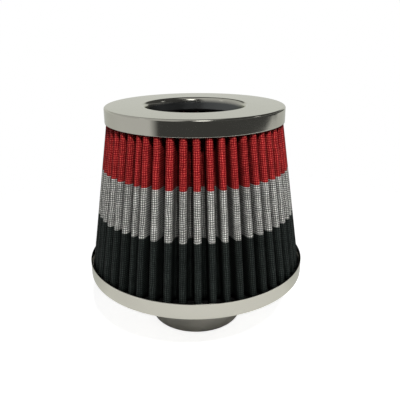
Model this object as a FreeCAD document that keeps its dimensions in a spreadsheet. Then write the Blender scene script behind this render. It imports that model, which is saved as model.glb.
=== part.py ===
import FreeCAD
import Part

import math
import os

import Sketcher

# Open-mouthed cone air filter, standing on its neck.
# Z is the filter's axis, and the origin is the centre of the neck's open end.

# Driving dimensions, in millimetres where not said otherwise: alias, value, what it is.
DRIVING = [
    ("neck_bore", 60.0, "bore of the neck, which slides over the intake pipe"),
    ("neck_wall", 2.5, "rubber wall of the neck"),
    ("neck_length", 38.0, "neck below the base ring"),
    ("neck_end_round", 0.8, "rounding of the neck's outer end edge"),
    ("neck_root_round", 6.0, "fillet between the neck and the base"),
    ("inlet_round", 4.0, "rounding of the bore's inner end"),
    ("base_thick", 6.0, "thickness of the moulded base above the ring's flange"),
    ("ring_outside", 150.0, "outside diameter of the base ring"),
    ("ring_height", 11.0, "height of the base ring"),
    ("ring_sheet", 0.8, "sheet of the base ring"),
    ("ring_corner", 2.0, "outside radius of the base ring's lower corner"),
    ("ring_flange", 9.0, "width of the flange turned in under the base"),
    ("body_height", 116.0, "from the ring's underside to the top of the cap"),
    ("cap_outside", 118.0, "outside diameter of the top cap"),
    ("cap_skirt", 10.0, "height of the cap's skirt"),
    ("cap_sheet", 0.7, "sheet of the cap"),
    ("cap_corner", 2.0, "outside radius of the cap's upper corner"),
    ("mouth_bore", 61.0, "narrowest bore of the cap's mouth"),
    ("mouth_round", 5.0, "radius of the mouth's rolled edge"),
    ("mouth_depth", 9.5, "depth of the mouth's collar below the top"),
    ("seal_thick", 5.0, "thickness of the potting under the cap"),
    ("pleat_count", 51, "pleats of the outer pack"),
    ("pleat_turn", 3.4, "degrees that the first outer pleat is turned from the X axis"),
    ("pleat_depth", 10.0, "depth of the outer pleats"),
    ("pleat_tip", 2.1, "radius of the outer pleats' tips"),
    ("pleat_sheet", 1.4, "sheet of gauze between two screens, outer pack"),
    ("foot_gap", 0.8, "gap between the base ring's wall and the pleats' feet"),
    ("skirt_gap", 0.3, "gap between the cap's skirt and the pleats"),
    ("cone_count", 24, "pleats of the inner cone"),
    ("cone_depth", 7.5, "depth of the inner pleats"),
    ("cone_tip", 1.6, "radius of the inner pleats' tips"),
    ("cone_sheet", 1.1, "sheet of gauze between two screens, inner cone"),
    ("cone_height", 72.0, "height of the inner cone"),
    ("cone_foot_bore", 30.0, "clear bore between the inner pleats' tips at the foot"),
    ("collar_gap", 0.3, "gap between the cap's collar and the inner pleats"),
    ("cup_sheet", 0.8, "sheet of the cup under the inner cone"),
    ("cup_rim", 5.0, "height of the cup's rim above its floor"),
    ("cup_corner", 1.5, "outside radius of the cup's corner"),
    ("fit_gap", 0.1, "gap all round a piece that is dropped into another"),
]


class Size:
    # A length with its number and the spreadsheet formula that gives it.
    def __init__(self, number, formula):
        self.number = number
        self.formula = formula

    def joined(self, sign, other, number):
        return Size(number, f"({self.formula} {sign} {other.formula})")

    def __add__(self, other):
        other = as_size(other)
        return self.joined("+", other, self.number + other.number)

    def __sub__(self, other):
        other = as_size(other)
        return self.joined("-", other, self.number - other.number)

    def __mul__(self, other):
        other = as_size(other)
        return self.joined("*", other, self.number * other.number)

    def __truediv__(self, other):
        other = as_size(other)
        return self.joined("/", other, self.number / other.number)

    def __neg__(self):
        return Size(-self.number, f"(-{self.formula})")


def as_size(value):
    return value if isinstance(value, Size) else Size(float(value), f"{value:.9f}")


def make_sheet(doc):
    sheet = doc.addObject("Spreadsheet::Sheet", "Dims")
    for row, (alias, value, note) in enumerate(DRIVING, start=1):
        sheet.set(f"A{row}", alias)
        sheet.set(f"B{row}", str(value))
        sheet.set(f"C{row}", note)
        sheet.setAlias(f"B{row}", alias)
    doc.recompute()
    return {alias: Size(float(sheet.get(alias)), f"Dims.{alias}") for alias, value, note in DRIVING}


def origin_feature(body, role):
    return next(item for item in body.Origin.OriginFeatures if item.Role == role)


def new_sketch(body, name, plane):
    sketch = body.newObject("Sketcher::SketchObject", name)
    sketch.AttachmentSupport = (origin_feature(body, plane), [""])
    sketch.MapMode = "FlatFace"
    return sketch


def fix_point(sketch, edge, across, up):
    # Ties an edge's first end to the spreadsheet. A place that is None lies on the sketch's axis.
    for kind, axis, size in (("DistanceX", -2, across), ("DistanceY", -1, up)):
        if size is None:
            sketch.addConstraint(Sketcher.Constraint("PointOnObject", edge, 1, axis))
            continue
        places = (-1, 1, edge, 1)
        if size.number < 0:
            places = (edge, 1, -1, 1)
            size = -size
        index = sketch.addConstraint(Sketcher.Constraint(kind, *places, size.number))
        sketch.setExpression(f"Constraints[{index}]", size.formula)


def draw_outline(sketch, corners):
    # A closed outline through corners of (across, up).
    def vector(corner):
        return FreeCAD.Vector(*[size.number if size else 0.0 for size in corner], 0.0)

    edges = []
    for k, corner in enumerate(corners):
        following = corners[(k + 1) % len(corners)]
        edges.append(sketch.addGeometry(Part.LineSegment(vector(corner), vector(following))))
    for k, (across, up) in enumerate(corners):
        following = edges[(k + 1) % len(edges)]
        sketch.addConstraint(Sketcher.Constraint("Coincident", edges[k], 2, following, 1))
        fix_point(sketch, edges[k], across, up)


def bend(centre, radius, start, stop, facets):
    # Corners of a bend about a centre, from one angle in degrees to another, in a few facets.
    corners = []
    for k in range(facets + 1):
        angle = math.radians(start + (stop - start) * k / facets)
        corners.append((centre[0] + radius * math.cos(angle), centre[1] + radius * math.sin(angle)))
    return corners


def turned_piece(doc, name, corners):
    # A piece spun about the filter's axis from one closed outline.
    body = doc.addObject("PartDesign::Body", name)
    sketch = new_sketch(body, f"{name}_outline", "XZ_Plane")
    draw_outline(sketch, corners)
    turn = body.newObject("PartDesign::Revolution", f"{name}_turn")
    turn.Profile = sketch
    turn.ReferenceAxis = (sketch, ["V_Axis"])
    turn.Angle = 360


def pleat_outline(tip, floor, nose, sheet, half_pitch, way):
    # One pleat, even about the X axis, from the middle of one valley to the middle of the next.
    # tip is the radius of its folded edge, floor that of the valleys beside it, and way is 1
    # for a tip that points outwards and -1 for one that points inwards.
    half = math.radians(half_pitch.number)
    along = Size(math.cos(half), f"cos({half_pitch.formula})")
    aside = Size(math.sin(half), f"sin({half_pitch.formula})")
    centre = tip - nose * way
    back = floor - sheet * way
    inside = nose - sheet
    slant = math.sqrt(0.5)
    upper = [
        (centre + nose * slant * way, nose * slant),
        (centre, nose),
        ((floor - nose * aside) / along, nose),
        (floor * along, floor * aside),
        (back * along, back * aside),
        ((back - inside * aside) / along, inside),
        (centre, inside),
    ]
    lower = [(across, -up) for across, up in reversed(upper)]
    return [(tip, None)] + upper + [(centre + inside * way, None)] + lower


def pleated_piece(doc, name, foot, head, depth, nose, sheet, count, turn, way):
    # A closed cone of pleats: one pleat lofted from foot to head and repeated around the axis.
    # foot and head are (height, radius of the tips).
    body = doc.addObject("PartDesign::Body", name)
    half_pitch = Size(180.0, "180 deg") / count
    sketches = []
    for place, (height, tip) in (("foot", foot), ("head", head)):
        sketch = new_sketch(body, f"{name}_{place}", "XY_Plane")
        sketch.setExpression("AttachmentOffset.Base.z", height.formula)
        draw_outline(sketch, pleat_outline(tip, tip - depth * way, nose, sheet, half_pitch, way))
        sketches.append(sketch)
    pleat = body.newObject("PartDesign::AdditiveLoft", f"{name}_pleat")
    pleat.Profile = sketches[0]
    pleat.Sections = [sketches[1]]
    pleat.Ruled = True
    pattern = body.newObject("PartDesign::PolarPattern", f"{name}_round")
    pattern.Originals = [pleat]
    pattern.Axis = (origin_feature(body, "Z_Axis"), [""])
    pattern.Angle = 360
    pattern.setExpression("Occurrences", count.formula)
    body.Tip = pattern
    if turn is not None:
        body.Placement = FreeCAD.Placement(FreeCAD.Vector(), FreeCAD.Rotation(FreeCAD.Vector(0, 0, 1), 1))
        body.setExpression("Placement.Rotation.Angle", turn.formula)


def check_document(doc, pieces):
    for item in doc.Objects:
        if "Invalid" in item.State or "Error" in item.State:
            raise RuntimeError(f"{item.Label} failed: {item.State}")
    for piece in pieces:
        shape = piece.Shape
        if shape.isNull() or not shape.isValid() or len(shape.Solids) != 1:
            raise RuntimeError(f"{piece.Label} is not one valid solid")


def build():
    doc = FreeCAD.newDocument("air_filter")
    dim = make_sheet(doc)

    # Heights, from the neck's open end upwards.
    ring_under = dim["neck_length"]
    base_under = ring_under + dim["ring_sheet"]
    base_top = base_under + dim["base_thick"]
    ring_top = ring_under + dim["ring_height"]
    cap_top = ring_under + dim["body_height"]
    cap_under = cap_top - dim["cap_sheet"]
    skirt_end = cap_top - dim["cap_skirt"]
    collar_end = cap_top - dim["mouth_depth"]
    seal_under = cap_under - dim["seal_thick"]
    cone_foot = seal_under - dim["cone_height"]

    # Radii from the axis.
    bore = dim["neck_bore"] / 2
    neck = bore + dim["neck_wall"]
    ring = dim["ring_outside"] / 2
    ring_inside = ring - dim["ring_sheet"]
    flange = ring - dim["ring_flange"]
    cap = dim["cap_outside"] / 2
    cap_inside = cap - dim["cap_sheet"]
    mouth = dim["mouth_bore"] / 2
    collar = mouth + dim["cap_sheet"]

    # Top cap, and the potting that fills it around the collar.
    cap_bend = (cap - dim["cap_corner"], cap_top - dim["cap_corner"])
    cap_bend_inside = dim["cap_corner"] - dim["cap_sheet"]
    mouth_bend = (mouth + dim["mouth_round"], cap_top - dim["mouth_round"])
    mouth_bend_inside = dim["mouth_round"] - dim["cap_sheet"]
    turned_piece(doc, "top_cap", [
        (cap_inside, skirt_end),
        (cap, skirt_end),
        *bend(cap_bend, dim["cap_corner"], 0, 90, 2),
        *bend(mouth_bend, dim["mouth_round"], 90, 180, 4),
        (mouth, collar_end),
        (collar, collar_end),
        *bend(mouth_bend, mouth_bend_inside, 180, 90, 4),
        *bend(cap_bend, cap_bend_inside, 90, 0, 2),
    ])
    turned_piece(doc, "top_seal", [
        (collar, seal_under),
        (cap_inside, seal_under),
        *bend(cap_bend, cap_bend_inside, 0, 90, 1),
        *bend(mouth_bend, mouth_bend_inside, 90, 180, 1),
    ])

    # Base ring, and the rubber base with its neck that sits in it.
    ring_bend = (ring - dim["ring_corner"], ring_under + dim["ring_corner"])
    ring_bend_inside = dim["ring_corner"] - dim["ring_sheet"]
    turned_piece(doc, "base_ring", [
        (ring, ring_top),
        (ring_inside, ring_top),
        *bend(ring_bend, ring_bend_inside, 0, -90, 2),
        (flange, base_under),
        (flange, ring_under),
        *bend(ring_bend, dim["ring_corner"], -90, 0, 2),
    ])
    neck_end = (neck - dim["neck_end_round"], None)
    neck_root = (neck + dim["neck_root_round"], ring_under - dim["neck_root_round"])
    inlet = (bore + dim["inlet_round"], base_top - dim["inlet_round"])
    rim = ring_inside - dim["fit_gap"]
    step = flange - dim["fit_gap"]
    turned_piece(doc, "base_neck", [
        (bore, None),
        neck_end,
        (neck, dim["neck_end_round"]),
        *bend(neck_root, dim["neck_root_round"], 180, 90, 2),
        (step, ring_under),
        (step, base_under),
        (rim - dim["ring_corner"], base_under),
        (rim, base_under + dim["ring_corner"]),
        (rim, base_top),
        *bend(inlet, dim["inlet_round"], 90, 180, 2),
    ])

    # The outer pleats clear the skirt at its lower edge and keep one straight taper.
    foot_tip = ring_inside - dim["foot_gap"]
    skirt_tip = cap_inside - dim["skirt_gap"]
    taper = (foot_tip - skirt_tip) / (skirt_end - base_top)
    head_tip = foot_tip - taper * (seal_under - base_top)
    pleated_piece(doc, "outer_pleats", (base_top, foot_tip), (seal_under, head_tip), dim["pleat_depth"],
                  dim["pleat_tip"], dim["pleat_sheet"], dim["pleat_count"], dim["pleat_turn"], 1)

    # The inner cone clears the collar at its lower end, keeps one straight taper and stands in its cup.
    cone_foot_tip = dim["cone_foot_bore"] / 2
    collar_tip = collar + dim["collar_gap"]
    cone_slope = (collar_tip - cone_foot_tip) / (collar_end - cone_foot)
    cone_head_tip = cone_foot_tip + cone_slope * dim["cone_height"]
    pleated_piece(doc, "inner_pleats", (cone_foot, cone_foot_tip), (seal_under, cone_head_tip),
                  dim["cone_depth"], dim["cone_tip"], dim["cone_sheet"], dim["cone_count"], None, -1)

    # The cup's rim clears the widest corners of the pleats at its own height.
    half_cone_pitch = Size(180.0, "180 deg") / dim["cone_count"]
    spread = Size(math.cos(math.radians(half_cone_pitch.number)), f"cos({half_cone_pitch.formula})")
    cone_back = cone_foot_tip + dim["cone_depth"] + dim["cone_sheet"] + cone_slope * dim["cup_rim"]
    cup_inside = cone_back / spread + dim["fit_gap"]
    cup = cup_inside + dim["cup_sheet"]
    cup_under = cone_foot - dim["cup_sheet"]
    turned_piece(doc, "inner_cone_cup", [
        (None, cup_under),
        (cup - dim["cup_corner"], cup_under),
        (cup, cup_under + dim["cup_corner"]),
        (cup, cone_foot + dim["cup_rim"]),
        (cup_inside, cone_foot + dim["cup_rim"]),
        (cup_inside, cone_foot),
        (None, cone_foot),
    ])

    doc.recompute()
    pieces = [item for item in doc.Objects if item.TypeId == "PartDesign::Body"]
    check_document(doc, pieces)
    os.makedirs("parts", exist_ok=True)
    for piece in pieces:
        piece.Shape.exportStep(os.path.join("parts", f"{piece.Label}.step"))
        print(piece.Label, "volume", round(piece.Shape.Volume, 1))


build()
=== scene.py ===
import math

import bmesh
import bpy
from mathutils import Euler, Matrix, Vector


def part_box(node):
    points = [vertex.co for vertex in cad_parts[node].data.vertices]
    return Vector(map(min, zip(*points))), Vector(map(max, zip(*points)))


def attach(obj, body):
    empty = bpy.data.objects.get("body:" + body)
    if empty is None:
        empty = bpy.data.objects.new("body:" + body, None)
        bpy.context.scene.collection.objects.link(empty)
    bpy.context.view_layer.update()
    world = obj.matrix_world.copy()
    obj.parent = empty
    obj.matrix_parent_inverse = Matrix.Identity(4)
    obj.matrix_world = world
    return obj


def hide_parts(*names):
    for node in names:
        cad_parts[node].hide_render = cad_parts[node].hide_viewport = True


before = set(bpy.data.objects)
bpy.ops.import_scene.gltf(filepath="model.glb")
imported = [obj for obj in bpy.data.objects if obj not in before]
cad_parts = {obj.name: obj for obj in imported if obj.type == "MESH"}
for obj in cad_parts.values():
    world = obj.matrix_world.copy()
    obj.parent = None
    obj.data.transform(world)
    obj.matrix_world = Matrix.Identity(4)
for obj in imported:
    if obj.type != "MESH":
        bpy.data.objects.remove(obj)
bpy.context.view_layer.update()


# Small helpers, mostly for the node trees of the materials, the pleats and the world

def feed(tree, socket, value):
    if isinstance(value, bpy.types.NodeSocket):
        tree.links.new(value, socket)
    else:
        socket.default_value = value


def addNode(tree, kind, inputs=None, **settings):
    node = tree.nodes.new(kind)
    for name, value in settings.items():
        setattr(node, name, value)
    for name, value in (inputs or {}).items():
        feed(tree, node.inputs[name], value)
    return node


def calc(tree, operation, *values):
    node = addNode(tree, "ShaderNodeMath", operation=operation)
    for socket, value in zip(node.inputs, values):
        feed(tree, socket, value)
    return node.outputs[0]


def remap(tree, value, low, high, newLow, newHigh):
    node = addNode(tree, "ShaderNodeMapRange", {
        "Value": value, "From Min": low, "From Max": high, "To Min": newLow, "To Max": newHigh}, clamp=True)
    return node.outputs["Result"]


def mixValue(tree, share, first, second):
    return addNode(tree, "ShaderNodeMix", {0: share, 2: first, 3: second}).outputs[0]


def mixColour(tree, share, first, second, mode="MIX"):
    node = addNode(tree, "ShaderNodeMix", {0: share, 6: first, 7: second},
                   data_type="RGBA", blend_type=mode)
    return node.outputs[2]


def greyColour(tree, value):
    return addNode(tree, "ShaderNodeCombineColor", {"Red": value, "Green": value, "Blue": value}).outputs[0]


def splitVector(tree, vector):
    return addNode(tree, "ShaderNodeSeparateXYZ", {"Vector": vector}).outputs


def joinVector(tree, x, y, z=0.0):
    return addNode(tree, "ShaderNodeCombineXYZ", {"X": x, "Y": y, "Z": z}).outputs[0]


def vectorLength(tree, vector):
    return addNode(tree, "ShaderNodeVectorMath", {0: vector}, operation="LENGTH").outputs["Value"]


def addNoise(tree, vector, scale, detail, dimensions="3D"):
    node = addNode(tree, "ShaderNodeTexNoise", {"Vector": vector, "Scale": scale, "Detail": detail},
                   noise_dimensions=dimensions)
    return node.outputs


def objectPlace(tree):
    return addNode(tree, "ShaderNodeTexCoord").outputs["Object"]


def newGroup(name, kind, inputs, outputs):
    tree = bpy.data.node_groups.new(name, kind)
    for label, socketType in inputs:
        tree.interface.new_socket(label, in_out="INPUT", socket_type=socketType)
    for label, socketType in outputs:
        tree.interface.new_socket(label, in_out="OUTPUT", socket_type=socketType)
    return tree, tree.nodes.new("NodeGroupInput"), tree.nodes.new("NodeGroupOutput")


def useGroup(tree, group, inputs):
    return addNode(tree, "ShaderNodeGroup", inputs, node_tree=group).outputs


def newMaterial(name):
    material = bpy.data.materials.new(name)
    material.use_nodes = True
    tree = material.node_tree
    shader = next(node for node in tree.nodes if node.type == "BSDF_PRINCIPLED")
    return material, tree, shader


def addBump(tree, shader, height, strength, distance):
    bump = addNode(tree, "ShaderNodeBump", {"Strength": strength, "Distance": distance, "Height": height})
    tree.links.new(bump.outputs["Normal"], shader.inputs["Normal"])


def addObject(name, data):
    thing = bpy.data.objects.new(name, data)
    bpy.context.scene.collection.objects.link(thing)
    return thing


# Shared effect: a plain weave, with one thread to each unit of Threads

weave = {
    "driftScale": 0.11,         # the threads wander slowly both ways
    "driftDetail": 2.0,
    "drift": 1.4,               # how far they wander, in threads
    "middle": 0.6,              # height of a thread, and its rise and fall at each crossing
    "rise": 0.4,
    "threadEdge": (0.6, 0.95),  # heights over which a thread covers what is below it
    "streakShare": 0.45,        # share of the mottle that runs along a whole thread
}


def makeWovenScreen():
    tree, source, result = newGroup(
        "wovenScreen", "ShaderNodeTree", [("Threads", "NodeSocketVector")],
        [(label, "NodeSocketFloat") for label in ("Height", "Cover", "Knuckle", "Mottle")])
    threads = source.outputs["Threads"]
    parts = splitVector(tree, threads)
    drift = addNoise(tree, threads, weave["driftScale"], weave["driftDetail"], "2D")
    offset = addNode(tree, "ShaderNodeSeparateColor", {"Color": drift["Color"]}).outputs
    across = calc(tree, "MULTIPLY_ADD", offset["Red"], weave["drift"], parts["X"])
    along = calc(tree, "MULTIPLY_ADD", offset["Green"], weave["drift"], parts["Y"])
    warp = calc(tree, "SINE", calc(tree, "MULTIPLY", calc(tree, "FRACT", across), math.pi))
    weft = calc(tree, "SINE", calc(tree, "MULTIPLY", calc(tree, "FRACT", along), math.pi))
    column = calc(tree, "FLOOR", across)
    line = calc(tree, "FLOOR", along)
    parity = calc(tree, "PINGPONG", calc(tree, "ADD", column, line), 1.0)
    swing = calc(tree, "MULTIPLY_ADD", parity, -2.0, 1.0)  # 1 with the warp on top, -1 with the weft
    warpLift = calc(tree, "MULTIPLY_ADD", calc(tree, "MULTIPLY", swing, weft),
                    weave["rise"], weave["middle"])
    weftLift = calc(tree, "MULTIPLY_ADD", calc(tree, "MULTIPLY", swing, warp),
                    -weave["rise"], weave["middle"])
    height = calc(tree, "MAXIMUM", calc(tree, "MULTIPLY", warp, warpLift),
                  calc(tree, "MULTIPLY", weft, weftLift))
    cover = remap(tree, calc(tree, "MAXIMUM", warp, weft), *weave["threadEdge"], 0.0, 1.0)
    # where a thread crosses on top; the gauze paints its highlight there
    knuckleHighlight = remap(tree, height, *weave["threadEdge"], 0.0, 1.0)
    speck = addNode(tree, "ShaderNodeTexWhiteNoise", {"Vector": joinVector(tree, column, line)},
                    noise_dimensions="2D").outputs["Value"]
    streak = addNode(tree, "ShaderNodeTexWhiteNoise", {"W": column}, noise_dimensions="1D").outputs["Value"]
    mottle = mixValue(tree, weave["streakShare"], speck, streak)
    for label, value in (("Height", height), ("Cover", cover), ("Knuckle", knuckleHighlight), ("Mottle", mottle)):
        tree.links.new(value, result.inputs[label])
    return tree


# Shared effect: fine rings that a polishing wheel leaves on spun sheet, and smudges on it

polish = {"lineDetail": 3.0, "smudgeScale": 38.0, "smudgeDetail": 4.0}


def makeSpunLines():
    tree, source, result = newGroup(
        "spunLines", "ShaderNodeTree",
        [("Place", "NodeSocketVector"), ("Density", "NodeSocketFloat")],
        [("Lines", "NodeSocketFloat"), ("Smudge", "NodeSocketFloat")])
    place = source.outputs["Place"]
    parts = splitVector(tree, place)
    radius = vectorLength(tree, joinVector(tree, parts["X"], parts["Y"]))
    profile = calc(tree, "MULTIPLY", calc(tree, "ADD", radius, parts["Z"]), source.outputs["Density"])
    lines = addNode(tree, "ShaderNodeTexNoise", {
        "W": profile, "Scale": 1.0, "Detail": polish["lineDetail"]}, noise_dimensions="1D").outputs
    smudge = addNoise(tree, place, polish["smudgeScale"], polish["smudgeDetail"])
    tree.links.new(lines["Fac"], result.inputs["Lines"])
    tree.links.new(smudge["Fac"], result.inputs["Smudge"])
    return tree


wovenScreen = makeWovenScreen()
spunLines = makeSpunLines()
print("shared effects ready")


# Spun and polished metal, for the cap, the ring and the cup

metalFinish = {
    "colour": (0.53, 0.52, 0.455, 1.0),
    "smudged": 0.97,                       # share of the colour left under a smudge
    "edgeTint": (0.97, 0.985, 0.92, 1.0),  # colour of the reflection at grazing angles
    "wear": (0.1, 0.45),                   # lines and smudges that count as fresh polish and as worn
    "roughness": (0.06, 0.15),             # of each
    "lineDensity": 5200.0,
    "lineStrength": 0.015,
    "lineDepth": 0.0001,
    # painted dark reflection deep in the mouth, and a rougher finish there
    "throatShadeColour": (0.10, 0.105, 0.105, 1.0),
    "throatRoughness": 0.30,
}
cupFinish = dict(metalFinish, colour=(0.42, 0.42, 0.41, 1.0), roughness=(0.28, 0.42))


def makePolishedMetal(name, finish, throat=None):
    # throat gives the heights where the painted dark reflection in the mouth begins and where it is full;
    # the finish turns rougher over the same heights
    material, tree, shader = newMaterial(name)
    place = objectPlace(tree)
    spun = useGroup(tree, spunLines, {"Place": place, "Density": finish["lineDensity"]})
    worn = calc(tree, "MULTIPLY", spun["Lines"], spun["Smudge"])
    roughness = remap(tree, worn, *finish["wear"], *finish["roughness"])
    smudged = [channel * finish["smudged"] for channel in finish["colour"][:3]] + [1.0]
    colour = mixColour(tree, spun["Smudge"], smudged, finish["colour"])
    if throat:
        paintedShadeFrom, paintedShadeFull = throat
        deep = remap(tree, splitVector(tree, place)["Z"], paintedShadeFull, paintedShadeFrom, 1.0, 0.0)
        # painted shade: the metal's colour darkens deep in the mouth
        colour = mixColour(tree, deep, colour, finish["throatShadeColour"])
        roughness = mixValue(tree, deep, roughness, finish["throatRoughness"])
    tree.links.new(colour, shader.inputs["Base Color"])
    tree.links.new(roughness, shader.inputs["Roughness"])
    shader.inputs["Metallic"].default_value = 1.0
    shader.inputs["Specular Tint"].default_value = finish["edgeTint"]
    addBump(tree, shader, spun["Lines"], finish["lineStrength"], finish["lineDepth"])
    return material


# Woven gauze of the pleats, striped outside and plain red inside; the inside's dark red is painted shade

gauzeFinish = {
    "redFrom": 87.0,               # rows of threads above the floor where each stripe starts
    "greyFrom": 64.0,
    # the knuckle colours are far lighter than the threads: painted highlights on the wire crossings
    "red": {"gap": (0.170, 0.003, 0.008, 1.0), "thread": (0.24, 0.006, 0.011, 1.0),
            "knuckleHighlight": (0.64, 0.084, 0.066, 1.0)},
    "grey": {"gap": (0.100, 0.100, 0.092, 1.0), "thread": (0.160, 0.160, 0.150, 1.0),
             "knuckleHighlight": (0.86, 0.86, 0.81, 1.0)},
    "black": {"gap": (0.006, 0.0075, 0.007, 1.0), "thread": (0.010, 0.013, 0.012, 1.0),
              "knuckleHighlight": (0.034, 0.042, 0.038, 1.0)},
    # the inner cone's colours are kept far darker than the outer red: painted shade of the cone's inside
    "inner": {"gap": (0.008, 0.002, 0.002, 1.0), "thread": (0.040, 0.010, 0.010, 1.0),
              "knuckleHighlight": (0.140, 0.030, 0.028, 1.0)},
    "paintedValleyDepths": (0.13, 0.48),     # shares of the way into a valley over which painted shade darkens the gauze
    "paintedValleyShade": 0.33,
    "patchScale": 160.0,           # faint patches, as shares of the colour
    "patchDetail": 3.0,
    "patchRange": (0.3, 0.7),
    "patchShade": (0.82, 1.12),
    "mottleShade": (0.62, 1.34),   # the darkest and the lightest threads
    "roughness": (0.8, 0.5),       # between the knuckles and on them
    "specular": 0.12,
    "weaveStrength": 0.7,
    "weaveDepth": 0.0004,
}
threadsPerPleat = {"outer": 18.0, "inner": 14.0}


def makeGauze(name, threadCount, striped):
    finish = gauzeFinish
    material, tree, shader = newMaterial(name)
    threads = addNode(tree, "ShaderNodeUVMap", uv_map="weave").outputs["UV"]
    woven = useGroup(tree, wovenScreen, {"Threads": threads})
    parts = splitVector(tree, threads)
    colours = finish["inner"]
    if striped:
        isGrey = calc(tree, "GREATER_THAN", parts["Y"], finish["greyFrom"])
        isRed = calc(tree, "GREATER_THAN", parts["Y"], finish["redFrom"])
        colours = {}
        for layer in ("gap", "thread", "knuckleHighlight"):
            lower = mixColour(tree, isGrey, finish["black"][layer], finish["grey"][layer])
            colours[layer] = mixColour(tree, isRed, lower, finish["red"][layer])
    colour = mixColour(tree, woven["Cover"], colours["gap"], colours["thread"])
    colour = mixColour(tree, woven["Knuckle"], colour, colours["knuckleHighlight"])

    phase = calc(tree, "FRACT", calc(tree, "DIVIDE", parts["X"], threadCount))
    inward = calc(tree, "ABSOLUTE", calc(tree, "MULTIPLY_ADD", phase, 2.0, -1.0))  # 1 in a valley
    # painted shade: the gauze's colour is darkened towards each valley
    valley = remap(tree, inward, *finish["paintedValleyDepths"], 1.0, finish["paintedValleyShade"])
    patches = addNoise(tree, objectPlace(tree), finish["patchScale"], finish["patchDetail"])["Fac"]
    patched = remap(tree, patches, *finish["patchRange"], *finish["patchShade"])
    mottled = remap(tree, woven["Mottle"], 0.0, 1.0, *finish["mottleShade"])
    shade = calc(tree, "MULTIPLY", calc(tree, "MULTIPLY", patched, mottled), valley)
    colour = mixColour(tree, 1.0, colour, greyColour(tree, shade), mode="MULTIPLY")

    roughness = remap(tree, woven["Knuckle"], 0.0, 1.0, *finish["roughness"])
    tree.links.new(colour, shader.inputs["Base Color"])
    tree.links.new(roughness, shader.inputs["Roughness"])
    # low specular, as the knuckles' highlights are painted into the colour
    shader.inputs["Specular IOR Level"].default_value = finish["specular"]
    addBump(tree, shader, woven["Height"], finish["weaveStrength"], finish["weaveDepth"])
    return material


# Grey rubber of the base, and the dark potting that holds the pleats, made near black partly as painted
# shade

rubberFinish = {
    "colour": (0.340, 0.330, 0.290, 1.0),
    "pale": (0.440, 0.425, 0.380, 1.0),  # a dusty bloom, in clouds
    "bloom": (0.35, 0.7),
    "dullness": (0.3, 0.7),
    "roughness": (0.54, 0.72),
    "cloudScale": 55.0,
    "cloudDetail": 5.0,
    "grainScale": 2400.0,
    "grainDetail": 2.0,
    "grainStrength": 0.25,
    "grainDepth": 0.0001,
}
# near black: the potting's own dark colour, deepened as painted shade between the pleats' feet
pottingAndShadeFinish = dict(rubberFinish, colour=(0.002, 0.002, 0.002, 1.0), pale=(0.004, 0.004, 0.004, 1.0),
                     roughness=(0.62, 0.8))


def makeRubber(name, finish):
    material, tree, shader = newMaterial(name)
    place = objectPlace(tree)
    cloud = addNoise(tree, place, finish["cloudScale"], finish["cloudDetail"])["Fac"]
    grain = addNoise(tree, place, finish["grainScale"], finish["grainDetail"])["Fac"]
    bloom = remap(tree, cloud, *finish["bloom"], 0.0, 1.0)
    roughness = remap(tree, cloud, *finish["dullness"], *finish["roughness"])
    tree.links.new(mixColour(tree, bloom, finish["colour"], finish["pale"]), shader.inputs["Base Color"])
    tree.links.new(roughness, shader.inputs["Roughness"])
    addBump(tree, shader, grain, finish["grainStrength"], finish["grainDepth"])
    return material


polishedMetal = makePolishedMetal("polishedMetal", metalFinish)
dullMetal = makePolishedMetal("dullMetal", cupFinish)
stripedGauze = makeGauze("stripedGauze", threadsPerPleat["outer"], striped=True)
redGauze = makeGauze("redGauze", threadsPerPleat["inner"], striped=False)
greyRubber = makeRubber("greyRubber", rubberFinish)
pottingAndShadeRubber = makeRubber("pottingAndShadeRubber", pottingAndShadeFinish)
print("materials ready")


# Turned pieces: cap, seal, ring, neck and cup, spun from outlines with rounded corners

def roundedOutline(corners, steps=9, support=0.00035):
    # corners are (radius, height, rounding) in order around a closed outline; a point on each
    # side of a rounding keeps the flats beside it flat in the shading
    points = []
    count = len(corners)
    for k, (across, up, rounding) in enumerate(corners):
        here = Vector((across, up))
        if rounding == 0.0:
            points.append(here)
            continue
        back = (Vector(corners[k - 1][:2]) - here).normalized()
        onward = (Vector(corners[(k + 1) % count][:2]) - here).normalized()
        half = math.acos(max(-1.0, min(1.0, back.dot(onward)))) / 2
        reach = rounding / math.tan(half)
        centre = here + (back + onward).normalized() * (rounding / math.sin(half))
        start = here + back * reach
        stop = here + onward * reach
        first = math.atan2(start.y - centre.y, start.x - centre.x)
        sweep = math.atan2(stop.y - centre.y, stop.x - centre.x) - first
        sweep = (sweep + math.pi) % (2 * math.pi) - math.pi
        points.append(start + back * support)
        for step in range(steps + 1):
            angle = first + sweep * step / steps
            points.append(centre + Vector((math.cos(angle), math.sin(angle))) * rounding)
        points.append(stop + onward * support)
    return points


def spinPiece(name, outline, material, turns, onAxis=1e-7):
    mesh = bpy.data.meshes.new(name)
    shape = bmesh.new()
    rings = []
    for point in outline:
        if point.x < onAxis:  # one point closes the pole
            rings.append([shape.verts.new((0.0, 0.0, point.y))] * turns)
            continue
        ring = []
        for step in range(turns):
            angle = 2 * math.pi * step / turns
            ring.append(shape.verts.new((point.x * math.cos(angle), point.x * math.sin(angle), point.y)))
        rings.append(ring)
    for k, ring in enumerate(rings):
        after = rings[(k + 1) % len(rings)]
        for step in range(turns):
            around = (step + 1) % turns
            corners = []
            for vertex in (ring[step], ring[around], after[around], after[step]):
                if vertex not in corners:
                    corners.append(vertex)
            if len(corners) > 2:
                shape.faces.new(corners)
    bmesh.ops.recalc_face_normals(shape, faces=shape.faces)
    if shape.calc_volume(signed=True) < 0.0:  # a shallow cup can come out inside out
        bmesh.ops.reverse_faces(shape, faces=shape.faces)
    for face in shape.faces:
        face.smooth = True
    shape.to_mesh(mesh)
    shape.free()
    mesh.materials.append(material)
    return addObject(name, mesh)


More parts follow.
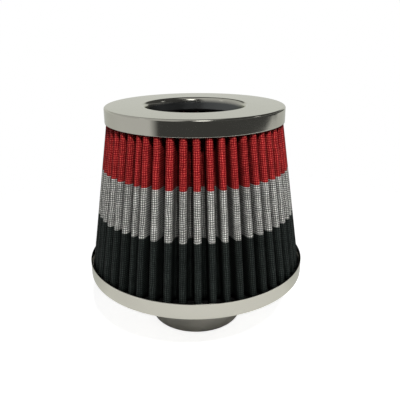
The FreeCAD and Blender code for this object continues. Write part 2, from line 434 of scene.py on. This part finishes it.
def dress(piece, node):
    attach(piece, "root")
    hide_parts(node)


def nodeReach(node):
    # a node's outer radius and the heights of its foot and head
    low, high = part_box(node)
    return max(high[0], high[1], -low[0], -low[1]), low[2], high[2]


def wholeMillimetres(length):
    return round(length, 3)


def straightTaper(low, high, height):
    # the radius at a height on the straight line through two points of (height, radius)
    return low[1] + (high[1] - low[1]) * (height - low[0]) / (high[0] - low[0])


capShape = {
    "turns": 224,
    "sheet": 0.0007,
    "corner": 0.0013,
    "edge": 0.0003,
    "lip": 0.0330,         # radius where the flat top and the throat would meet
    "lipRound": 0.0030,
    "mouth": 0.0305,       # radius of the collar below the throat
    "mouthDepth": 0.0095,  # from the top to the collar's end
    "collar": 0.0016,      # height of the collar
    "collarRound": 0.002,
    "paintedShadeFrom": 0.0012,  # depths in the mouth where the painted dark reflection begins and where it is full
    "paintedShadeFull": 0.0036,
}


def makeTopCap():
    size = capShape
    reach, skirtEnd, top = nodeReach("top_cap")
    reach = wholeMillimetres(reach)
    sheet = size["sheet"]
    edge = size["edge"]
    lip = size["lip"]
    mouth = size["mouth"]
    collarEnd = top - size["mouthDepth"]
    throatEnd = collarEnd + size["collar"]
    lean = math.atan2(lip - mouth, top - throatEnd)  # the throat narrows from the lip to the collar
    lipBack = lip + sheet * math.tan(math.pi / 4 - lean / 2)
    throatBack = throatEnd - sheet * math.tan(lean / 2)
    outline = roundedOutline([
        (reach, skirtEnd, edge),
        (reach, top, size["corner"]),
        (lip, top, size["lipRound"]),
        (mouth, throatEnd, size["collarRound"]),
        (mouth, collarEnd, edge),
        (mouth + sheet, collarEnd, edge),
        (mouth + sheet, throatBack, size["collarRound"]),
        (lipBack, top - sheet, size["lipRound"] - sheet),
        (reach - sheet, top - sheet, size["corner"] - sheet),
        (reach - sheet, skirtEnd, edge),
    ])
    piece = spinPiece("topCap", outline, polishedMetal, size["turns"])
    throat = (top - size["paintedShadeFrom"], top - size["paintedShadeFull"])
    piece.data.materials.append(makePolishedMetal("mouthMetal", metalFinish, throat))
    for face in piece.data.polygons:  # the faces that look into the mouth
        across = face.center.to_2d()
        if across.length < lip + size["lipRound"] and across.dot(face.normal.to_2d()) < 0.0:
            face.material_index = 1
    dress(piece, "top_cap")


sealShape = {
    "turns": 160,
    "edge": 0.0003,
    "gap": 0.0002,      # from the back of the throat
    "sheetRoom": 1.2,   # thickness of the leaning throat, in sheets
    "lipRoom": 0.0025,  # room for the lip's rounding
}


def makeTopSeal():
    size = sealShape
    reach, low, high = nodeReach("top_seal")
    capTop = nodeReach("top_cap")[2]
    throatWall = straightTaper((capTop - capShape["mouthDepth"], capShape["mouth"]),
                               (capTop, capShape["lip"]), low)
    inside = throatWall + capShape["sheet"] * size["sheetRoom"] + size["gap"]
    outline = roundedOutline([
        (inside, low, size["edge"]),
        (reach, low, size["edge"]),
        (reach, high, size["edge"]),
        (capShape["lip"] + size["lipRoom"], high, size["edge"]),
    ])
    dress(spinPiece("topSeal", outline, pottingAndShadeRubber, size["turns"]), "top_seal")


ringShape = {
    "turns": 256,
    "sheet": 0.0008,
    "corner": 0.002,
    "edge": 0.00035,
    "flange": 0.009,  # width of the flange under the base
}


def makeBaseRing():
    size = ringShape
    reach, low, high = nodeReach("base_ring")
    reach = wholeMillimetres(reach)
    sheet = size["sheet"]
    edge = size["edge"]
    flange = reach - size["flange"]
    outline = roundedOutline([
        (reach, high, edge),
        (reach - sheet, high, edge),
        (reach - sheet, low + sheet, size["corner"] - sheet),
        (flange, low + sheet, edge),
        (flange, low, edge),
        (reach, low, size["corner"]),
    ])
    dress(spinPiece("baseRing", outline, polishedMetal, size["turns"]), "base_ring")


neckShape = {
    "turns": 224,
    "bore": 0.030,
    "wall": 0.0025,
    "length": 0.038,       # from the neck's end to the underside of the base
    "root": 0.006,         # rounding between the neck and the base
    "inlet": 0.004,        # rounding of the bore inside the filter
    "endRound": 0.0008,
    "edge": 0.0003,
    "rimFoot": 0.002,      # roundings of the base inside the ring
    "rimEdge": 0.0006,
    "flangeStep": 0.0008,  # seat on the ring's flange
    "fitGap": 0.0001,
    "pottingDepth": 0.0005,
    "pottingFacing": 0.9,  # least upward part of a face's normal on the potted top
}


def makeBaseNeck():
    size = neckShape
    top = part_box("base_neck")[1][2]
    bore = size["bore"]
    neck = bore + size["wall"]
    under = size["length"]
    ringReach = wholeMillimetres(nodeReach("base_ring")[0])
    rim = ringReach - ringShape["sheet"] - size["fitGap"]
    step = ringReach - ringShape["flange"] - size["fitGap"]
    seat = under + size["flangeStep"]
    outline = roundedOutline([
        (bore, 0.0, size["edge"]),
        (neck, 0.0, size["endRound"]),
        (neck, under, size["root"]),
        (step, under, size["edge"]),
        (step, seat, 0.0),
        (rim, seat, size["rimFoot"]),
        (rim, top, size["rimEdge"]),
        (bore, top, size["inlet"]),
    ])
    piece = spinPiece("baseNeck", outline, greyRubber, size["turns"])
    piece.data.materials.append(pottingAndShadeRubber)
    for face in piece.data.polygons:  # the pleats' feet are set in dark potting, near black partly as painted shade between them
        if face.normal.z > size["pottingFacing"] and face.center.z > top - size["pottingDepth"]:
            face.material_index = 1
    dress(piece, "base_neck")


cupShape = {"turns": 128, "sheet": 0.0008, "corner": 0.0015, "edge": 0.0003}


def makeConeCup():
    size = cupShape
    reach, low, high = nodeReach("inner_cone_cup")
    sheet = size["sheet"]
    outline = roundedOutline([
        (0.0, low, 0.0),
        (reach, low, size["corner"]),
        (reach, high, size["edge"]),
        (reach - sheet, high, size["edge"]),
        (reach - sheet, low + sheet, size["corner"] - sheet),
        (0.0, low + sheet, 0.0),
    ])
    dress(spinPiece("coneCup", outline, dullMetal, size["turns"]), "inner_cone_cup")


makeTopCap()
makeTopSeal()
makeBaseRing()
makeBaseNeck()
makeConeCup()
print("turned pieces ready")


# Pleated packs: one sheet folded round a cone by a node tree, then thickened

fold = {
    "nudge": 0.0001,       # keeps a pleat's first point from counting as the pleat before
    "unevenScale": 4.0,    # the unevenness of a hand-set pack
    "unevenDetail": 2.0,
    "seamGap": 0.000001,
}
foldInputs = ["Foot Height", "Head Height", "Foot Radius", "Head Radius", "Depth", "Tip", "Way", "Turn",
              "Waver", "Dent", "Threads", "Pitch", "Squeeze", "Squeeze Place", "Squeeze Before",
              "Squeeze After"]


def makePleatTree():
    tree, source, result = newGroup(
        "pleatedSheet", "GeometryNodeTree",
        [(label, "NodeSocketInt") for label in ("Count", "Steps", "Rows")]
        + [(label, "NodeSocketFloat") for label in foldInputs] + [("Material", "NodeSocketMaterial")],
        [("Geometry", "NodeSocketGeometry")])
    value = source.outputs

    def do(operation, *values):
        return calc(tree, operation, *values)

    around = do("ADD", do("MULTIPLY", value["Count"], value["Steps"]), 1.0)
    grid = addNode(tree, "GeometryNodeMeshGrid", {
        "Size X": 1.0, "Size Y": 1.0, "Vertices X": around, "Vertices Y": value["Rows"]})
    sheet = splitVector(tree, grid.outputs["UV Map"])
    run = do("MULTIPLY", sheet["X"], value["Count"])
    pleat = do("FLOOR", do("ADD", run, fold["nudge"]))
    phase = do("SUBTRACT", run, pleat)

    def taper(foot, head):
        return do("MULTIPLY_ADD", do("SUBTRACT", value[head], value[foot]), sheet["Y"], value[foot])

    height = taper("Foot Height", "Head Height")
    tipRadius = taper("Foot Radius", "Head Radius")
    halfPitch = do("DIVIDE", math.pi, value["Count"])
    floorRadius = do("SUBTRACT", tipRadius, do("MULTIPLY", value["Way"], value["Depth"]))
    valleyHalf = do("MULTIPLY", floorRadius, do("TANGENT", halfPitch))
    hollow = do("SUBTRACT", valleyHalf, value["Tip"])  # radius of the valley's rounding

    # Length along half a pleat: round tip, straight flank, round valley
    quarter = math.pi / 2
    tipLength = do("MULTIPLY", value["Tip"], quarter)
    flank = do("SUBTRACT", do("SUBTRACT", value["Depth"], value["Tip"]), hollow)
    whole = do("ADD", do("ADD", tipLength, flank), do("MULTIPLY", hollow, quarter))
    offset = do("SUBTRACT", do("MULTIPLY", phase, 2.0), 1.0)
    length = do("MULTIPLY", do("ABSOLUTE", offset), whole)
    tipTurn = do("MINIMUM", do("DIVIDE", length, value["Tip"]), quarter)
    past = do("SUBTRACT", length, tipLength)
    slide = do("MINIMUM", do("MAXIMUM", past, 0.0), flank)
    floorTurn = do("MAXIMUM", do("DIVIDE", do("SUBTRACT", past, flank), hollow), 0.0)
    drop = do("MULTIPLY", value["Tip"], do("SUBTRACT", 1.0, do("COSINE", tipTurn)))
    drop = do("ADD", drop, do("MULTIPLY_ADD", hollow, do("SINE", floorTurn), slide))
    wide = do("MULTIPLY", value["Tip"], do("SINE", tipTurn))
    wide = do("MULTIPLY_ADD", hollow, do("SUBTRACT", 1.0, do("COSINE", floorTurn)), wide)
    wide = do("MULTIPLY", wide, do("SIGN", offset))
    radius = do("SUBTRACT", tipRadius, do("MULTIPLY", value["Way"], drop))

    # Round the axis, a little uneven, and squeezed together at one place
    angle = do("MULTIPLY_ADD", pleat, do("MULTIPLY", halfPitch, 2.0), value["Turn"])
    angle = do("ADD", angle, do("ARCTAN2", wide, radius))
    reach = do("SQRT", do("ADD", do("MULTIPLY", radius, radius), do("MULTIPLY", wide, wide)))
    spread = [do("MULTIPLY", part, fold["unevenScale"])
              for part in (do("COSINE", angle), do("SINE", angle), height)]
    noise = addNoise(tree, joinVector(tree, *spread), 1.0, fold["unevenDetail"])
    uneven = do("SUBTRACT", noise["Fac"], 0.5)
    aside = do("SUBTRACT", angle, value["Squeeze Place"])
    share = do("MAXIMUM", do("DIVIDE", aside, value["Squeeze After"]),
               do("DIVIDE", do("MULTIPLY", aside, -1.0), value["Squeeze Before"]))
    squeeze = do("EXPONENT", do("MULTIPLY", do("MULTIPLY", share, share), -1.0))
    angle = do("MULTIPLY_ADD", uneven, value["Waver"], angle)
    angle = do("MULTIPLY_ADD", squeeze, value["Squeeze"], angle)
    reach = do("SUBTRACT", reach, do("MULTIPLY", do("ABSOLUTE", uneven), value["Dent"]))
    place = joinVector(tree, do("MULTIPLY", reach, do("COSINE", angle)),
                       do("MULTIPLY", reach, do("SINE", angle)), height)

    # The mesh, with thread counts across and along it as its UV map
    threads = joinVector(tree, do("MULTIPLY", run, value["Threads"]), do("DIVIDE", height, value["Pitch"]))
    stored = addNode(tree, "GeometryNodeStoreNamedAttribute", {
        "Geometry": grid.outputs["Mesh"], "Name": "weave"}, data_type="FLOAT2", domain="CORNER")
    stores = next(socket for socket in stored.inputs if socket.name == "Value" and socket.enabled)
    tree.links.new(threads, stores)
    moved = addNode(tree, "GeometryNodeSetPosition", {
        "Geometry": stored.outputs["Geometry"], "Position": place})
    closed = addNode(tree, "GeometryNodeMergeByDistance", {
        "Geometry": moved.outputs["Geometry"], "Distance": fold["seamGap"]})
    smooth = addNode(tree, "GeometryNodeSetShadeSmooth", {"Geometry": closed.outputs["Geometry"]})
    real = addNode(tree, "GeometryNodeRealizeInstances", {"Geometry": smooth.outputs["Geometry"]})
    coloured = addNode(tree, "GeometryNodeSetMaterial", {
        "Geometry": real.outputs["Geometry"], "Material": value["Material"]})
    tree.links.new(coloured.outputs["Geometry"], result.inputs["Geometry"])
    return tree


pleatTree = makePleatTree()


def makePack(name, node, pack, material, footRadius, headRadius):
    low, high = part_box(node)
    holder = addObject(name + "Holder", bpy.data.meshes.new(name + "Holder"))
    folding = holder.modifiers.new("fold", "NODES")
    folding.node_group = pleatTree
    settings = dict(pack)
    settings.update({"Foot Height": low[2], "Head Height": high[2], "Foot Radius": footRadius,
                     "Head Radius": headRadius, "Material": material})
    for item in pleatTree.interface.items_tree:
        if item.in_out == "INPUT":
            folding[item.identifier] = settings[item.name]
    body = holder.modifiers.new("body", "SOLIDIFY")
    body.thickness = pack["Thickness"]
    body.offset = -pack["Way"]
    body.use_even_offset = True
    graph = bpy.context.evaluated_depsgraph_get()
    mesh = bpy.data.meshes.new_from_object(holder.evaluated_get(graph), preserve_all_data_layers=True,
                                           depsgraph=graph)
    mesh.name = name
    for vertex in mesh.vertices:  # the ends of the sheet are cut flat
        vertex.co.z = min(max(vertex.co.z, low[2]), high[2])
    bpy.data.objects.remove(holder)
    dress(addObject(name, mesh), node)
    print(name, "faces", len(mesh.polygons), "layers", [layer.name for layer in mesh.uv_layers])


outerPack = {
    "Count": 51, "Steps": 24, "Rows": 26,  # pleats round the pack, points on a pleat, rows up the sheet
    "Depth": 0.010, "Tip": 0.0021,         # depth of a pleat and radius of its ridge
    "Thickness": 0.0014,
    "Way": 1.0,                            # ridges outwards
    "Turn": math.radians(3.4),
    "Waver": 0.014, "Dent": 0.0007,        # how far pleats stray sideways, in radians, and inwards
    "Threads": threadsPerPleat["outer"], "Pitch": 0.00131,
    "Squeeze": math.radians(-2.3),         # pleats pushed aside at one place, fading out both ways
    "Squeeze Place": math.radians(243.0),
    "Squeeze Before": math.radians(5.0), "Squeeze After": math.radians(20.0),
    "Foot Gap": 0.0008, "Skirt Gap": 0.0003,  # inside the ring and inside the cap's skirt
}


def makeOuterPleats():
    capReach, skirtEnd = nodeReach("top_cap")[:2]
    foot, head = nodeReach("outer_pleats")[1:]
    footRadius = nodeReach("base_ring")[0] - ringShape["sheet"] - outerPack["Foot Gap"]
    skirtRadius = capReach - capShape["sheet"] - outerPack["Skirt Gap"]
    headRadius = straightTaper((foot, footRadius), (skirtEnd, skirtRadius), head)
    makePack("outerPleats", "outer_pleats", outerPack, stripedGauze, footRadius, headRadius)


innerPack = {
    "Count": 24, "Steps": 24, "Rows": 20,
    "Depth": 0.0075, "Tip": 0.0016, "Thickness": 0.0011,
    "Way": -1.0,                           # ridges inwards
    "Turn": 0.0,
    "Waver": 0.02, "Dent": 0.0,
    "Threads": threadsPerPleat["inner"], "Pitch": 0.00131,
    "Squeeze": 0.0, "Squeeze Place": 0.0, "Squeeze Before": 1.0, "Squeeze After": 1.0,
    "Foot Radius": 0.0150,                 # in the cup
    "Collar Gap": 0.0003,                  # round the cap's collar
}


def makeInnerPleats():
    capTop = nodeReach("top_cap")[2]
    foot, head = nodeReach("inner_pleats")[1:]
    footRadius = innerPack["Foot Radius"]
    collarRadius = capShape["mouth"] + capShape["sheet"] + innerPack["Collar Gap"]
    headRadius = straightTaper((foot, footRadius), (capTop - capShape["mouthDepth"], collarRadius), head)
    makePack("innerPleats", "inner_pleats", innerPack, redGauze, footRadius, headRadius)


makeOuterPleats()
makeInnerPleats()
print("pleats ready")


# Pale floor, which fades out and keeps the shadow

floorLook = {
    "radius": 0.40,
    "sides": 96,
    "fade": (0.17, 0.388),    # distances where it begins to fade and where it is gone, inside its edge
    "depth": (-0.03, 0.07),   # from in front of the axis to behind it, the floor goes from pale to darker
    "pale": (0.9, 0.4),
    "roughness": 0.9,
    "lift": 0.80,             # glow that the camera sees, and that metal shows
    "shine": 0.15,
}
white = (1.0, 1.0, 1.0, 1.0)


def makeFloor():
    mesh = bpy.data.meshes.new("floor")
    shape = bmesh.new()
    bmesh.ops.create_circle(shape, cap_ends=True, segments=floorLook["sides"], radius=floorLook["radius"])
    shape.to_mesh(mesh)
    shape.free()
    material, tree, shader = newMaterial("paleFloor")
    place = objectPlace(tree)
    fade = remap(tree, vectorLength(tree, place), *floorLook["fade"], 0.0, 1.0)
    pale = remap(tree, splitVector(tree, place)["Y"], *floorLook["depth"], *floorLook["pale"])
    tree.links.new(greyColour(tree, pale), shader.inputs["Base Color"])
    shader.inputs["Roughness"].default_value = floorLook["roughness"]
    shader.inputs["Specular IOR Level"].default_value = 0.0
    path = addNode(tree, "ShaderNodeLightPath").outputs
    seen = calc(tree, "MAXIMUM", path["Is Camera Ray"], path["Is Transmission Ray"])
    glow = calc(tree, "MULTIPLY_ADD", seen, floorLook["lift"],
                calc(tree, "MULTIPLY", path["Is Glossy Ray"], floorLook["shine"]))
    shader.inputs["Emission Color"].default_value = white
    tree.links.new(glow, shader.inputs["Emission Strength"])
    clear = addNode(tree, "ShaderNodeBsdfTransparent")
    mix = addNode(tree, "ShaderNodeMixShader", {0: fade, 1: shader.outputs[0], 2: clear.outputs[0]})
    output = next(node for node in tree.nodes if node.type == "OUTPUT_MATERIAL")
    tree.links.new(mix.outputs[0], output.inputs["Surface"])
    mesh.materials.append(material)
    addObject("floor", mesh)


# Lamps, each with a soft mirror image in the world

lamps = {  # bearing from the front and height in degrees, glow of the mirror image and its half width
    "keyLamp": {"bearing": 12.0, "height": 48.0, "distance": 0.90, "size": 0.10, "power": 7.6,
                "glow": 5.0, "half": 8.0},
    "leftFill": {"bearing": -75.0, "height": 35.0, "distance": 0.90, "size": 0.20, "power": 0.3,
                 "glow": 1.4, "half": 5.0},
    "rightFill": {"bearing": 95.0, "height": 35.0, "distance": 0.90, "size": 0.20, "power": 0.3,
                  "glow": 1.6, "half": 4.0},
}
glowEdge = (1.35, 0.65)  # half widths where the glow starts and where it is full
aim = (0.0, 0.0, 0.09)   # the point that the lamps face


def lampWay(lamp):
    turn = math.radians(lamp["bearing"])
    up = math.radians(lamp["height"])
    return Vector((math.cos(up) * math.sin(turn), -math.cos(up) * math.cos(turn), math.sin(up)))


def makeLamps():
    for name, lamp in lamps.items():
        data = bpy.data.lights.new(name, "AREA")
        data.size = lamp["size"]
        data.energy = lamp["power"]
        way = lampWay(lamp)
        light = addObject(name, data)
        light.location = Vector(aim) + way * lamp["distance"]
        light.rotation_euler = (-way).to_track_quat("-Z", "Y").to_euler()
        light.visible_glossy = False  # the world shows its mirror image


# White studio that the metal mirrors: walls, a dark ceiling and a dark flag in front.
# A rise is the upward part of a direction, a depth its part to the back, and a bearing is in degrees

studio = {
    "ambient": (0.08, 0.75),        # soft light from the front and from the back
    "ambientDepth": (0.25, 0.9),
    "below": (0.70, 0.58),          # brightness under the horizon, in front and behind
    "belowDepth": (0.2, 0.9),
    "wall": 0.72,
    "wallRise": (-0.05, 0.08),
    "ceiling": (0.07, 0.6),         # dark to the right, pale to the left
    "ceilingLeft": (0.2, 0.45),
    "ceilingRise": (0.27, 0.36),
    "zenith": 0.65,
    "zenithRise": (0.93, 0.98),
    "flag": 0.07,
    "flagFrom": (-56.0, -44.0),     # its left edge
    "flagTo": (125.0, 150.0),       # its right edge, low and high
    "flagToRise": (-0.08, -0.03),
    "flagToSoft": 6.0,
    "flagTop": (0.24, 0.32),
    "wedgeBearing": (45.0, 111.0),  # to the right the flag's lower edge climbs
    "wedgeRise": (-0.32, -0.165),
    "wedgeSoft": 0.008,
}


def flagMask(tree, bearing, rise):
    soft = studio["wedgeSoft"]
    farEdge = remap(tree, rise, *studio["flagToRise"], *studio["flagTo"])
    nearFade = remap(tree, bearing, *studio["flagFrom"], 0.0, 1.0)
    farFade = remap(tree, bearing, calc(tree, "SUBTRACT", farEdge, studio["flagToSoft"]), farEdge, 1.0, 0.0)
    flag = calc(tree, "MULTIPLY", calc(tree, "MULTIPLY", nearFade, farFade),
                remap(tree, rise, *studio["flagTop"], 1.0, 0.0))
    lowEdge = remap(tree, bearing, *studio["wedgeBearing"], *studio["wedgeRise"])
    wedge = remap(tree, calc(tree, "SUBTRACT", rise, lowEdge), -soft, soft, 0.0, 1.0)
    straightOn = calc(tree, "LESS_THAN", bearing, studio["wedgeBearing"][0])
    return calc(tree, "MULTIPLY", flag, calc(tree, "MAXIMUM", wedge, straightOn))


def makeWorld():
    world = bpy.data.worlds.new("studio")
    bpy.context.scene.world = world
    world.use_nodes = True
    tree = world.node_tree
    background = next(node for node in tree.nodes if node.type == "BACKGROUND")
    way = addNode(tree, "ShaderNodeTexCoord").outputs["Generated"]
    parts = splitVector(tree, way)
    rise = parts["Z"]
    bearing = calc(tree, "ARCTAN2", parts["X"], calc(tree, "MULTIPLY", parts["Y"], -1.0))
    bearing = calc(tree, "MULTIPLY", bearing, math.degrees(1.0))  # 0 in front, turning to the right

    # Walls, ceiling and flag
    below = remap(tree, parts["Y"], *studio["belowDepth"], *studio["below"])
    surround = remap(tree, rise, *studio["wallRise"], below, studio["wall"])
    level = vectorLength(tree, joinVector(tree, parts["X"], parts["Y"]))
    leftward = calc(tree, "DIVIDE", calc(tree, "MULTIPLY", parts["X"], -1.0), level)
    overhead = remap(tree, leftward, *studio["ceilingLeft"], *studio["ceiling"])
    isZenith = remap(tree, rise, *studio["zenithRise"], 0.0, 1.0)
    isCeiling = remap(tree, rise, *studio["ceilingRise"], 0.0, 1.0)
    overhead = mixValue(tree, isZenith, overhead, studio["zenith"])
    surround = mixValue(tree, isCeiling, surround, overhead)
    mirrored = mixValue(tree, flagMask(tree, bearing, rise), surround, studio["flag"])
    for lamp in lamps.values():
        near = addNode(tree, "ShaderNodeVectorMath", {0: way, 1: lampWay(lamp)},
                       operation="DOT_PRODUCT").outputs["Value"]
        edge, full = [math.cos(math.radians(lamp["half"]) * share) for share in glowEdge]
        mirrored = calc(tree, "MAXIMUM", mirrored, remap(tree, near, edge, full, 0.0, lamp["glow"]))

    # The camera sees white, metal sees the studio, and the rest gets soft light
    path = addNode(tree, "ShaderNodeLightPath").outputs
    shiny = calc(tree, "MAXIMUM", path["Is Glossy Ray"], path["Is Transmission Ray"])
    ambient = remap(tree, parts["Y"], *studio["ambientDepth"], *studio["ambient"])
    strength = mixValue(tree, shiny, ambient, mirrored)
    strength = mixValue(tree, path["Is Camera Ray"], strength, 1.0)
    background.inputs["Color"].default_value = white
    tree.links.new(strength, background.inputs["Strength"])


# Camera of the photograph

view = {
    "focal": 475.0,  # in pixels of the photograph, as is its width
    "frame": 400.0,
    "sensor": 36.0,
    "place": (0.0031, -0.3152, 0.1996),
    "pitch": 0.3432,
    "roll": -0.006,
    "nearest": 0.01,
}


def makeCamera():
    data = bpy.data.cameras.new("photoCamera")
    data.sensor_width = view["sensor"]
    data.lens = view["focal"] / view["frame"] * view["sensor"]
    data.clip_start = view["nearest"]
    camera = addObject("photoCamera", data)
    camera.location = view["place"]
    turn = Euler((math.pi / 2 - view["pitch"], 0.0, 0.0)).to_matrix()
    camera.rotation_euler = (turn @ Matrix.Rotation(view["roll"], 3, "Z")).to_euler()
    bpy.context.scene.camera = camera


makeFloor()
makeWorld()
makeLamps()
makeCamera()
bpy.context.scene.view_settings.view_transform = "Standard"
print("stage ready")
